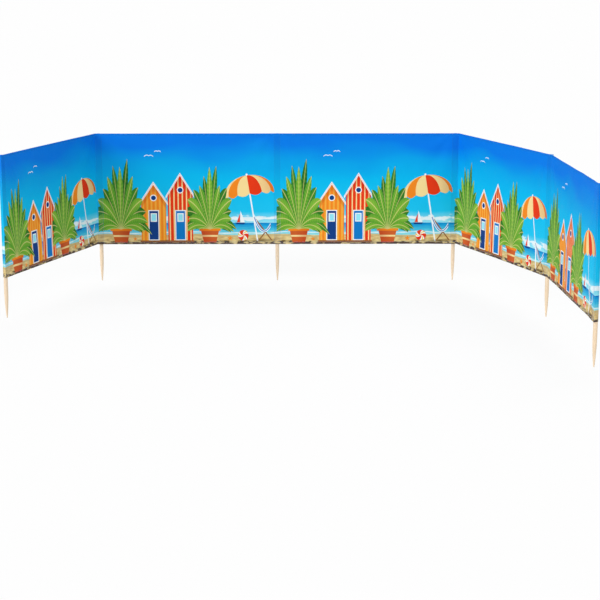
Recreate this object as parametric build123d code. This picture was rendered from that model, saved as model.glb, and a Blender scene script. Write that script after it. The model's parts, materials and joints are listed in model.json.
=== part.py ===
"""Beach windbreak: a long hemmed cloth on pointed wooden stakes, stood up in a U.

Millimetres. The origin is the blunt tip of the stake in the middle of the back wall. +X runs
along that wall, +Y points out of the shelter to the side with the stakes, and +Z is up.
The cloth is drawn thicker than it is, so that every layer of it is a solid.
"""

from build123d import *
from math import asin, atan2, cos, hypot, sin, sqrt
import os

# Cloth, as it lies flat
cloth_length = 6000
cloth_height = 750
cloth_thickness = 1.2
hem_width = 18
fold_radius = 1.5

# Stakes
stake_length = 1000
stake_diameter = 25
taper_length = 165
shoulder_height = 82
shoulder_diameter = 20.5
tip_diameter = 7
head_chamfer = 2.5

# Sleeves sewn on the back of the cloth, one round each stake
pocket_ease = 11
seam_allowance = 4
clearance = 0.3

# How far the cloth turns at each inner stake as it stands, in degrees to the right seen from above
turns = (69, 0, 68.5, 18.5)
middle_stake = 3

# Sizes that follow
bay_count = len(turns) + 1
stake_count = bay_count + 1
stake_radius = stake_diameter / 2
pocket_width = stake_diameter + pocket_ease
sleeve_width = pocket_width + 2 * seam_allowance
stake_pitch = (cloth_length - sleeve_width) / bay_count
stake_offset = cloth_thickness + clearance + stake_radius
pocket_top = stake_length + clearance
top_layer = pocket_top + cloth_thickness
cloth_top = top_layer + cloth_thickness
cloth_bottom = cloth_top - cloth_height
bottom_layer = cloth_bottom + cloth_thickness
hem_lift = 2 * cloth_thickness
end_round = 1.5 * cloth_thickness


def bay_run(bay):
    """Straight length of one bay; the middle one carries a sleeve at each end."""
    return stake_pitch + sleeve_width if bay == middle_stake else stake_pitch


def turn_before(bay):
    return turns[bay - 2] if bay > 1 else 0


def turn_after(bay):
    return turns[bay - 1] if bay < bay_count else 0


def fold(angle):
    """Step round a rounded fold, to the right, along the front of the cloth."""
    centre = Location((0, -fold_radius, 0))
    return centre * Location((0, 0, 0), (0, 0, -angle)) * centre.inverse()


def sleeve_place(stake):
    """The bay that carries a sleeve, and how far along it the sleeve's middle lies."""
    if stake <= middle_stake:
        return stake, sleeve_width / 2
    return stake - 1, bay_run(stake - 1) - sleeve_width / 2


def walk_bays():
    """Where each bay starts: x along its front face, y outwards, from the middle stake's tip."""
    here = Location()
    starts = {}
    for bay in range(1, bay_count + 1):
        here = here * fold(turn_before(bay))
        starts[bay] = here
        here = here * Location((bay_run(bay), 0, 0))
    bay, along = sleeve_place(middle_stake)
    middle = starts[bay] * Location((along, cloth_thickness + stake_offset, 0))
    return {bay: middle.inverse() * start for bay, start in starts.items()}


def run_cloth(section, bay):
    """Sweep an upright section along a bay, from the middle of one fold to the next.

    The section's x counts outwards from the front face and its y counts up from the ground.
    The free end of an outer bay stops short, where the end of the cloth is turned over.
    """
    start = end_round if bay == 1 else 0
    stop = bay_run(bay) - (end_round if bay == bay_count else 0)
    path = [Line((start, 0), (stop, 0))]
    head = Plane(origin=(start, 0, 0), x_dir=(0, 1, 0), z_dir=(1, 0, 0))
    if turn_before(bay):
        arc = JernArc((start, 0), (-1, 0), fold_radius, turn_before(bay) / 2)
        onward = arc % 1 * -1
        head = Plane(origin=arc @ 1, x_dir=onward.rotate(Axis.Z, 90), z_dir=onward)
        path.append(arc)
    if turn_after(bay):
        path.append(JernArc((stop, 0), (1, 0), fold_radius, -turn_after(bay) / 2))
    return sweep(head * section, path=Wire(path))


def cloth_section():
    return Pos(cloth_thickness / 2, (bottom_layer + top_layer) / 2) * Rectangle(
        cloth_thickness, top_layer - bottom_layer
    )


def hem_section(edge, inward):
    """Cloth rounded over at an edge and laid down the back; inward is +1 up or -1 down."""
    turn = edge + inward * cloth_thickness
    end = edge + inward * hem_width
    outline = [
        Line((cloth_thickness, end), (hem_lift, end)),
        Line((hem_lift, end), (hem_lift, turn)),
        ThreePointArc((hem_lift, turn), (cloth_thickness, edge), (0, turn)),
        Line((0, turn), (cloth_thickness, turn)),
        Line((cloth_thickness, turn), (cloth_thickness, end)),
    ]
    return make_face(outline)


def tent_face(foot, radius):
    """Outline of cloth drawn from two feet on the back face over the round stake."""
    reach = hypot(foot, stake_offset)
    slope = flank_slope(foot, radius)
    run = sqrt(reach**2 - radius**2)
    shoulder = (foot + run * cos(slope), run * sin(slope))
    far_shoulder = (-shoulder[0], shoulder[1])
    outline = [
        Line((-foot, 0), (foot, 0)),
        Line((foot, 0), shoulder),
        ThreePointArc(shoulder, (0, stake_offset + radius), far_shoulder),
        Line(far_shoulder, (-foot, 0)),
    ]
    return make_face(outline)


def flank_slope(foot, radius):
    """Direction of the tangent from the right foot to the far side of the stake's circle."""
    return atan2(stake_offset, -foot) - asin(radius / hypot(foot, stake_offset))


def slab(u_span, v_span, z_span):
    """Block between three pairs of limits."""
    size = [high - low for low, high in (u_span, v_span, z_span)]
    return Pos(u_span[0], v_span[0], z_span[0]) * Box(*size, align=(Align.MIN,) * 3)


def raised(face, bottom, top):
    """Raise a tent outline; also return the edges of its top, apart from the one on the cloth."""
    solid = Pos(0, 0, bottom) * extrude(face, amount=top - bottom)
    return solid, solid.faces().sort_by(Axis.Z)[-1].edges().sort_by(Axis.Y)[1:]


def make_sleeve(stake):
    """Strip of cloth round a stake: u along the bay, v outwards from the back of the cloth.

    It is open at the foot and closed over the stake's head. Its edges are sewn flat to the
    cloth and step up over the two hems. At a free end the cloth itself turns over to make it.
    """
    foot = pocket_width / 2
    edge = sleeve_width / 2
    inner_radius = stake_radius + clearance
    slope = flank_slope(foot, inner_radius)
    outer_foot = foot + cloth_thickness / sin(slope)
    outer = tent_face(outer_foot, inner_radius + cloth_thickness)
    inner = tent_face(foot, inner_radius)

    sleeve, crown = raised(outer, bottom_layer, top_layer)
    sleeve = chamfer(crown, head_chamfer + cloth_thickness * (2 - sqrt(2)))
    free_side = {1: -1, stake_count: 1}.get(stake, 0)
    lower_hem = (cloth_bottom, cloth_bottom + hem_width)
    upper_hem = (cloth_top - hem_width, cloth_top)
    for side in (-1, 1):
        free = side == free_side
        border = edge - end_round if free else edge
        span = sorted((side * foot, side * border))
        depth = hem_lift if free else cloth_thickness
        sleeve += slab(span, (0, depth), (bottom_layer, top_layer))
        for low, high in (lower_hem, upper_hem):
            step = (max(low - cloth_thickness, bottom_layer), min(high + cloth_thickness, top_layer))
            sleeve += slab(span, (cloth_thickness, hem_lift), step)
    for low, high in (lower_hem, upper_hem):
        sleeve -= slab((-edge, edge), (0, cloth_thickness), (low, high))
    pocket, crown = raised(inner, cloth_bottom, pocket_top)
    sleeve -= chamfer(crown, head_chamfer)
    if free_side:
        sleeve += turned_end(free_side)
    return sleeve


def turned_end(side):
    """Rounded upright edge where the end of the cloth turns over to the back."""
    seam = side * (sleeve_width / 2 - end_round)
    middle = (hem_lift - cloth_thickness) / 2
    rim = (seam + side * end_round, middle)
    outline = [
        Line((seam, -cloth_thickness), (seam, hem_lift)),
        ThreePointArc((seam, hem_lift), rim, (seam, -cloth_thickness)),
    ]
    edge = Pos(0, 0, cloth_bottom) * extrude(make_face(outline), amount=cloth_height)
    ends = edge.faces().sort_by(Axis.Z)
    arcs = [face.edges().filter_by(GeomType.CIRCLE)[0] for face in (ends[0], ends[-1])]
    return chamfer(arcs, cloth_thickness)


def make_stake():
    """Turned stake: blunt tip, point, gentle taper up to the shaft and chamfered head."""
    outline = [
        (0, 0),
        (tip_diameter / 2, 0),
        (shoulder_diameter / 2, shoulder_height),
        (stake_radius, taper_length),
        (stake_radius, stake_length - head_chamfer),
        (stake_radius - head_chamfer, stake_length),
        (0, stake_length),
    ]
    return revolve(Plane.XZ * make_face(Polyline(outline, close=True)), Axis.Z)


def make_windbreak():
    """Every piece in its place, by name."""
    bays = walk_bays()
    pieces = {}
    for bay, start in bays.items():
        pieces[f"bay_{bay}"] = start * run_cloth(cloth_section(), bay)
        pieces[f"top_hem_{bay}"] = start * run_cloth(hem_section(cloth_top, -1), bay)
        pieces[f"bottom_hem_{bay}"] = start * run_cloth(hem_section(cloth_bottom, 1), bay)
    for stake in range(1, stake_count + 1):
        bay, along = sleeve_place(stake)
        back = bays[bay] * Location((along, cloth_thickness, 0))
        pieces[f"sleeve_{stake}"] = back * make_sleeve(stake)
        pieces[f"stake_{stake}"] = back * Location((0, stake_offset, 0)) * make_stake()
    return pieces


os.makedirs("parts", exist_ok=True)
for name, shape in make_windbreak().items():
    export_step(shape, f"parts/{name}.step")
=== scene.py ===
"""Beach windbreak: a printed cloth screen with hems and sleeves, on turned wooden stakes.

Metres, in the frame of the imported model. The origin is the tip of the stake in the middle of the
back wall, +X runs along that wall, +Y points out of the shelter and +Z is up. Along the cloth, a
place is given by its distance from the left end and its height above the lower edge.
"""

import json
import logging
from collections.abc import Callable, Iterator, Sequence
from dataclasses import dataclass, field
from enum import Enum
from functools import cached_property, reduce
from itertools import accumulate, chain, pairwise
from math import asin, atan2, ceil, cos, exp, hypot, pi, radians, sin, sqrt, tau
from typing import Any, NamedTuple, Protocol

import bmesh
import bpy
from bmesh.types import BMesh
from bpy.types import ID, ColorRamp, Material, Mesh, Node, NodeSocket, Object, World
from mathutils import Matrix, Vector, noise


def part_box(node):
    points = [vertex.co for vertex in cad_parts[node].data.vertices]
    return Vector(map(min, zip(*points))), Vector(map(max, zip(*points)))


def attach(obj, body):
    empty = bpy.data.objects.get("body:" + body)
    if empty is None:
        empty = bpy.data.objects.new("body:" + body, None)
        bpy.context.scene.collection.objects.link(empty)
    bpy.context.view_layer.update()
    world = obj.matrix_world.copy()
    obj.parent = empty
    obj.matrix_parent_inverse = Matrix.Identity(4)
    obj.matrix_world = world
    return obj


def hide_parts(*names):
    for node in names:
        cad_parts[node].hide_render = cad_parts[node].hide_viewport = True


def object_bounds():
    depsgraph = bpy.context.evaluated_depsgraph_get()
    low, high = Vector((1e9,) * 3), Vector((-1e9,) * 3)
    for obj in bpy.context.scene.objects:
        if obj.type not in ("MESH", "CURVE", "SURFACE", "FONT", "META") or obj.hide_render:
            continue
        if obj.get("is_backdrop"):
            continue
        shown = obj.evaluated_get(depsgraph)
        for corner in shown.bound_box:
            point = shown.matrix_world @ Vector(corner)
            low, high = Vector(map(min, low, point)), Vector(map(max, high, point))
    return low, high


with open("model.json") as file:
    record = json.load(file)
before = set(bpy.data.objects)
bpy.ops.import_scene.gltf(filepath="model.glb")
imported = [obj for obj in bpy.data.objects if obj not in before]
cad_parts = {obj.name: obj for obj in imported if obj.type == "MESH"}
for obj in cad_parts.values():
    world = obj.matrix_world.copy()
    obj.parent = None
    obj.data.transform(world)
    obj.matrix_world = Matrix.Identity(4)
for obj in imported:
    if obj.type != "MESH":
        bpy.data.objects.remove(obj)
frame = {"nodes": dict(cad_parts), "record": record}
cad_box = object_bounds()

log = logging.getLogger("windbreak")

MILLIMETRE = 0.001
CLOTH_MAP = "cloth"
BODY = "root"
UP = Vector((0, 0, 1))

# Two bays at a smaller angle than this, in radians, run straight on.
STRAIGHT = 1e-4
# The upward part of an upright face's normal is smaller than this.
UPRIGHT = 0.1
# Two directions are the same where their product is greater than this.
SAME_WAY = 0.99999
# A face looks outwards where the product of its normal and that way is greater than this.
FACING = 0.5
# Points nearer to each other than this are one.
SAME_POINT = 0.001 * MILLIMETRE
# The outlines of the print fade over this distance, to each side.
SOFT_EDGE = 0.7 * MILLIMETRE
# In the print, the water meets the sand at this height above the lower edge.
WATERLINE = 0.066
# Sockets of a Mix node for colours: its share and two inputs, and its output.
MIX_SHARE, MIX_BELOW, MIX_ABOVE, MIX_COLOUR = 0, 6, 7, 2

Point = tuple[float, float]
Range = tuple[float, float]


class Ink(Enum):
    """Printing inks and bare materials, as red, green and blue from 0 to 255."""

    SKY_TOP = (0, 124, 232)
    SKY_HIGH = (0, 162, 232)
    SKY_MIDDLE = (0, 186, 238)
    SKY_LOW = (26, 196, 240)
    HAZE = (150, 230, 244)
    HORIZON = (0, 122, 196)
    DEEP_SEA = (12, 152, 216)
    SEA = (62, 190, 226)
    SHALLOWS = (142, 226, 234)
    WET_SAND = (198, 178, 128)
    SAND = (238, 216, 152)
    SAND_SHADE = (196, 164, 104)
    SHADE = (62, 44, 22)
    WHITE = (246, 250, 250)
    CREAM = (252, 222, 152)
    ORANGE = (246, 138, 34)
    AMBER = (250, 176, 62)
    RED = (232, 58, 20)
    DEEP_RED = (176, 30, 16)
    YELLOW = (252, 214, 66)
    NAVY = (18, 62, 132)
    BLUE = (12, 122, 200)
    TIMBER = (150, 98, 52)
    TERRACOTTA = (206, 96, 44)
    LEAF_LIGHT = (148, 196, 66)
    LEAF = (76, 152, 44)
    LEAF_DARK = (26, 96, 34)
    CLOTH_BACK = (182, 232, 246)
    THREAD = (8, 122, 220)
    THREAD_LIGHT = (66, 188, 244)
    PINE = (243, 222, 194)
    PINE_GRAIN = (214, 172, 122)
    FLOOR = (247, 247, 247)
    FLOOR_SHADE = (241, 241, 241)
    LIGHT = (255, 255, 255)

    @property
    def linear(self) -> tuple[float, float, float, float]:
        """The ink as a linear colour with full alpha."""
        return (*(to_linear(part / 255) for part in self.value), 1.0)


Stops = tuple[tuple[float, Ink], ...]


class Side(Enum):
    """Which face of the cloth shows."""

    PRINTED = "printed"
    REVERSE = "reverse"


class Edge(Enum):
    """Long edge of the cloth, with the direction that leads away from it into the cloth."""

    TOP = -1
    BOTTOM = 1


def to_linear(part: float) -> float:
    """One part of a display colour, from 0 to 1, as linear light."""
    return part / 12.92 if part <= 0.04045 else ((part + 0.055) / 1.055) ** 2.4


def ease(share: float) -> float:
    """Smooth step from 0 to 1."""
    share = min(max(share, 0.0), 1.0)
    return share * share * (3 - 2 * share)


def bell(distance: float, width: float) -> float:
    """Bell curve of height 1."""
    return exp(-((distance / width) ** 2))


def evenly(first: float, last: float, count: int) -> list[float]:
    """Numbers from first to last, in this many equal steps."""
    return [first + (last - first) * n / count for n in range(count + 1)]


def running_lengths(line: Sequence[Point]) -> list[float]:
    """Length of a line from its start up to each of its points."""
    steps = (hypot(end[0] - start[0], end[1] - start[1]) for start, end in pairwise(line))
    return list(accumulate(steps, initial=0.0))


@dataclass(frozen=True)
class Layers:
    """Levels of the cloth's layers above the ground, and the sizes of its making up."""

    bottom: float
    bottom_layer: float
    top_layer: float
    top: float
    ply: float = 1.2 * MILLIMETRE
    fold_radius: float = 1.5 * MILLIMETRE
    hem: float = 18 * MILLIMETRE
    hem_stitch: float = 15 * MILLIMETRE
    sleeve: float = 44 * MILLIMETRE
    pocket: float = 36 * MILLIMETRE
    end_round: float = 1.8 * MILLIMETRE

    @classmethod
    def measured(cls) -> "Layers":
        """Read the levels from the first bay and its hems."""
        low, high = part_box("bay_1")
        return cls(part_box("bottom_hem_1")[0].z, low.z, high.z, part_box("top_hem_1")[1].z)

    @property
    def height(self) -> float:
        """Height of the cloth with its hems."""
        return self.top - self.bottom

    @property
    def seam(self) -> float:
        """Distance from a sleeve's middle to the stitches down its side."""
        return (self.sleeve + self.pocket) / 4

    def depth(self, level: float) -> float:
        """Distance from a level above the ground to the nearer edge of the cloth."""
        return min(level - self.bottom, self.top - level)


@dataclass(frozen=True)
class Station:
    """A place on the run of the cloth, as a point on its front face and the way outwards."""

    point: Vector
    outward: Vector
    along: float
    in_bay: float

    def at(self, out: float, level: float) -> Vector:
        """The point this far outwards from the front face, at this level above the ground."""
        return self.point + self.outward * out + UP * level


class Spot(NamedTuple):
    """A point of a piece, with its distance along the cloth and its height on it."""

    point: Vector
    along: float
    height: float


class Front(NamedTuple):
    """Flat front face of a packed bay, from its left end at ground level."""

    start: Vector
    direction: Vector
    outward: Vector
    run: float


@dataclass(frozen=True)
class Bay:
    """One straight run of cloth between two folds, as it stands."""

    number: int
    start: Vector
    direction: Vector
    outward: Vector
    run: float
    along: float
    half_before: float
    half_after: float
    free_before: float
    free_after: float
    fold_radius: float
    bends: int = 3

    def station(self, distance: float, turn: float = 0.0) -> Station:
        """Find a place along the bay, or round the fold at one of its ends.

        Args:
            distance: distance from the bay's start along its front face.
            turn: how far round the fold, to the right, from this bay's own direction.

        Returns:
            The place.
        """
        centre = self.start + self.direction * distance - self.outward * self.fold_radius
        outward = Matrix.Rotation(-turn, 3, "Z") @ self.outward
        along = self.along + distance + self.fold_radius * turn
        return Station(centre + outward * self.fold_radius, outward, along, distance)

    def stations(self, step: float) -> list[Station]:
        """Find places from the middle of one fold to the middle of the next.

        Args:
            step: usual distance between places.

        Returns:
            The places, from left to right.
        """
        first, last = self.free_before, self.run - self.free_after
        bends = range(1, self.bends + 1)
        before = [self.station(0.0, -self.half_before * n / self.bends)
                  for n in reversed(bends) if self.half_before]
        after = [self.station(self.run, self.half_after * n / self.bends)
                 for n in bends if self.half_after]
        straight = evenly(first, last, ceil((last - first) / step))
        return before + [self.station(distance) for distance in straight] + after


@dataclass(frozen=True)
class Seat:
    """Where a stake stands: the bay that carries its sleeve, and how far along it that is."""

    bay: Bay
    at: float
    foot: Vector


@dataclass
class Row:
    """The bays as they stand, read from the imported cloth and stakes."""

    layers: Layers
    bays: list[Bay] = field(init=False)
    seats: list[Seat] = field(init=False)

    def __post_init__(self) -> None:
        """Measure the bays, then find the bay that carries each stake."""
        self.bays = list(self.walk_bays())
        self.seats = [self.seat_of(Vector(mount["pos_m"])) for mount in frame["record"]["mounts"]]

    @property
    def length(self) -> float:
        """Length of the whole cloth."""
        return sum(bay.run for bay in self.bays)

    @property
    def stake_pitch(self) -> float:
        """Distance along the cloth from one stake to the next."""
        return (self.length - self.layers.sleeve) / (len(self.seats) - 1)

    def walk_bays(self) -> Iterator[Bay]:
        """Measure the bays from left to right.

        Yields:
            Each bay, with the rounded ends of the cloth counted in at the two free ends.
        """
        count = sum(name.startswith("bay_") for name in frame["nodes"])
        fronts = [self.front_of(f"bay_{number}") for number in range(1, count + 1)]
        along = 0.0
        for index, front in enumerate(fronts):
            free = [self.layers.end_round if index == end else 0.0 for end in (0, count - 1)]
            halves = [self.half_turn(front, fronts[other]) if 0 <= other < count else 0.0
                      for other in (index - 1, index + 1)]
            start = front.start - front.direction * free[0]
            run = front.run + sum(free)
            yield Bay(
                index + 1, start, front.direction, front.outward, run, along,
                *halves, *free, self.layers.fold_radius,
            )
            along += run

    @staticmethod
    def half_turn(one: Front, other: Front) -> float:
        """Half the angle of the fold between two bays, or 0 where they run straight on."""
        turn = one.direction.angle(other.direction)
        return turn / 2 if turn > STRAIGHT else 0.0

    @staticmethod
    def front_of(node: str) -> Front:
        """Measure the flat front face of a packed bay.

        Args:
            node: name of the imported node.

        Returns:
            The face.
        """
        shelter = (Vector(cad_box[0]) + Vector(cad_box[1])) / 2
        mesh = frame["nodes"][node].data
        upright = [face for face in mesh.polygons if abs(face.normal.z) < UPRIGHT]
        inward = [face for face in upright if face.normal.dot(shelter - face.center) > 0]
        widest = max(inward, key=lambda face: face.area)
        outward = Vector((-widest.normal.x, -widest.normal.y, 0)).normalized()
        direction = Vector((outward.y, -outward.x, 0))
        front = [face for face in inward if face.normal.dot(outward) < -SAME_WAY]
        corners = [mesh.vertices[n].co for face in front for n in face.vertices]
        reach = [corner.dot(direction) for corner in corners]
        start = direction * min(reach) + outward * corners[0].dot(outward)
        return Front(start, direction, outward, max(reach) - min(reach))

    def seat_of(self, foot: Vector) -> Seat:
        """Find the bay that a stake stands straight behind, near one of its ends.

        Args:
            foot: tip of the stake.

        Returns:
            The stake's seat.
        """
        half = self.layers.sleeve / 2
        seats = [Seat(bay, (foot - bay.start).dot(bay.direction), foot) for bay in self.bays]
        return min(seats, key=lambda seat: min(abs(seat.at - half), abs(seat.bay.run - half - seat.at)))

    def covered(self, bay: Bay) -> list[Range]:
        """Stretches of a bay that a sleeve covers."""
        half = self.layers.sleeve / 2
        return [(seat.at - half, seat.at + half) for seat in self.seats if seat.bay is bay]

    def slack(self, bay: Bay) -> Range:
        """Find the stretch of a bay that is free between its sleeves.

        Args:
            bay: the bay.

        Returns:
            Distances of its two ends from the bay's start.
        """
        low, high = 0.0, bay.run
        for start, stop in self.covered(bay):
            low, high = (stop, high) if start < bay.run / 2 else (low, start)
        return low, high


class Ripple(NamedTuple):
    """Uneven waves of the cloth: how fast they change each way, their seed and their height."""

    along: float
    up: float
    seed: float
    height: float


@dataclass(frozen=True)
class Drape:
    """How far the cloth stands off its flat wall, outwards, between two sleeves."""

    row: Row
    belly: float = 9.0 * MILLIMETRE
    belly_at_edges: float = 0.35
    crease: float = 2.4 * MILLIMETRE
    crease_reach: float = 0.13
    creases: float = 7.0
    long_ripple: Ripple = Ripple(4.0, 6.0, 3.0, 3.0 * MILLIMETRE)
    short_ripple: Ripple = Ripple(11.0, 9.0, 8.0, 1.5 * MILLIMETRE)
    pucker: float = 0.8 * MILLIMETRE
    pucker_pitch: float = 0.043
    pucker_depth: float = 0.02
    pucker_drift: float = 3.0
    pucker_change: float = 7.0
    settle: float = 0.09

    def off(self, bay: Bay, in_bay: float, level: float) -> float:
        """Work out the distance at one place.

        Args:
            bay: bay of the cloth.
            in_bay: distance from the bay's start.
            level: height above the ground.

        Returns:
            The distance outwards.
        """
        low, high = self.row.slack(bay)
        if not low < in_bay < high:
            return 0.0
        layers = self.row.layers
        place = Vector((bay.along + in_bay, level, 0))
        off = self.bulge((in_bay - low) / (high - low), (level - layers.bottom) / layers.height)
        for phase, sideways in ((bay.number, in_bay - low), (bay.number + 2, high - in_bay)):
            for upwards in (level - layers.bottom, layers.top - level):
                off += self.fan(sideways, upwards, phase)
        off += self.waves(place, self.long_ripple) + self.waves(place, self.short_ripple)
        off += self.puckers(place, layers.depth(level))
        return off * ease(min(in_bay - low, high - in_bay) / self.settle)

    def bulge(self, share: float, rise: float) -> float:
        """The belly, at shares of the free width and of the height."""
        upright = self.belly_at_edges + (1 - self.belly_at_edges) * sin(pi * min(max(rise, 0), 1))
        return self.belly * 4 * share * (1 - share) * upright

    def fan(self, sideways: float, upwards: float, phase: float) -> float:
        """Creases that fan out from one corner of a bay.

        Args:
            sideways: distance from the corner along the bay.
            upwards: distance from the corner up or down the cloth.
            phase: angle at which the first crease lies.

        Returns:
            How far they stand out.
        """
        grown = hypot(sideways, upwards) / self.crease_reach
        turn = self.creases * atan2(upwards, max(sideways, SAME_POINT)) + phase
        return self.crease * grown * exp(1 - grown) * cos(turn)

    @staticmethod
    def waves(place: Vector, ripple: Ripple) -> float:
        """Soft uneven waves of one length."""
        spot = Vector((place.x * ripple.along, place.y * ripple.up, ripple.seed))
        return ripple.height * noise.noise(spot)

    def puckers(self, place: Vector, depth: float) -> float:
        """Gather the cloth in small waves along its hems.

        Args:
            place: distance along the cloth and level above the ground.
            depth: distance from the nearer edge, with which the waves die out.

        Returns:
            How far they stand out.
        """
        drift = self.pucker_drift * noise.noise(place * self.pucker_change)
        wave = sin(tau * place.x / self.pucker_pitch + drift)
        return self.pucker * wave * exp(-depth / self.pucker_depth)


@dataclass(frozen=True, eq=False)
class Value:
    """An output socket of a shader. Arithmetic on it adds Math nodes."""

    shader: "Shader"
    socket: NodeSocket

    def __add__(self, other: "Value | float") -> "Value":
        """Sum."""
        return self.shader.maths("ADD", self, other)

    def __sub__(self, other: "Value | float") -> "Value":
        """Difference."""
        return self.shader.maths("SUBTRACT", self, other)

    def __rsub__(self, other: float) -> "Value":
        """Difference from a number."""
        return self.shader.maths("SUBTRACT", other, self)

    def __mul__(self, other: "Value | float") -> "Value":
        """Product."""
        return self.shader.maths("MULTIPLY", self, other)

    def __truediv__(self, other: "Value | float") -> "Value":
        """Quotient."""
        return self.shader.maths("DIVIDE", self, other)

    def __mod__(self, other: float) -> "Value":
        """Remainder, never below 0."""
        return self.shader.maths("FLOORED_MODULO", self, other)

    def __neg__(self) -> "Value":
        """The same size with the other sign."""
        return self.shader.maths("MULTIPLY", self, -1.0)

    def __abs__(self) -> "Value":
        """Size without its sign."""
        return self.shader.maths("ABSOLUTE", self)

    def __lt__(self, other: "Value | float") -> "Value":
        """1 where this is less, and 0 elsewhere."""
        return self.shader.maths("LESS_THAN", self, other)

    def __gt__(self, other: "Value | float") -> "Value":
        """1 where this is greater, and 0 elsewhere."""
        return self.shader.maths("GREATER_THAN", self, other)

    __radd__ = __add__
    __rmul__ = __mul__

    def most(self, *others: "Value | float") -> "Value":
        """The greatest of several; of signed distances, where all the outlines overlap."""
        return reduce(lambda found, other: self.shader.maths("MAXIMUM", found, other), others, self)

    def least(self, other: "Value | float") -> "Value":
        """The lesser of two; of signed distances, two outlines joined."""
        return self.shader.maths("MINIMUM", self, other)

    def of(self, operation: str) -> "Value":
        """A Math operation on this alone, such as SINE, SQRT or FLOOR."""
        return self.shader.maths(operation, self)

    def swing(self) -> "Value":
        """Sine of this angle, moved to run from 0 to 1."""
        return self.of("SINE") * 0.5 + 0.5

    def spread(self, low: float, high: float) -> "Value":
        """0 at low, 1 at high, even between them and level outside."""
        ends = {"Value": self, "From Min": low, "From Max": high}
        return self.shader.value("ShaderNodeMapRange", {}, ends)

    def inside(self, blur: float = SOFT_EDGE) -> "Value":
        """1 where a signed distance is negative and 0 where it is positive, with a soft edge."""
        return self.spread(blur, -blur)


class Surface(NamedTuple):
    """How a finish takes the light.

    Its roughness, what its pattern adds to that, the depth of its relief in metres, and the
    strength of its highlights, where 0.5 is usual.
    """

    roughness: float
    patterned: float
    depth: float
    shine: float


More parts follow.
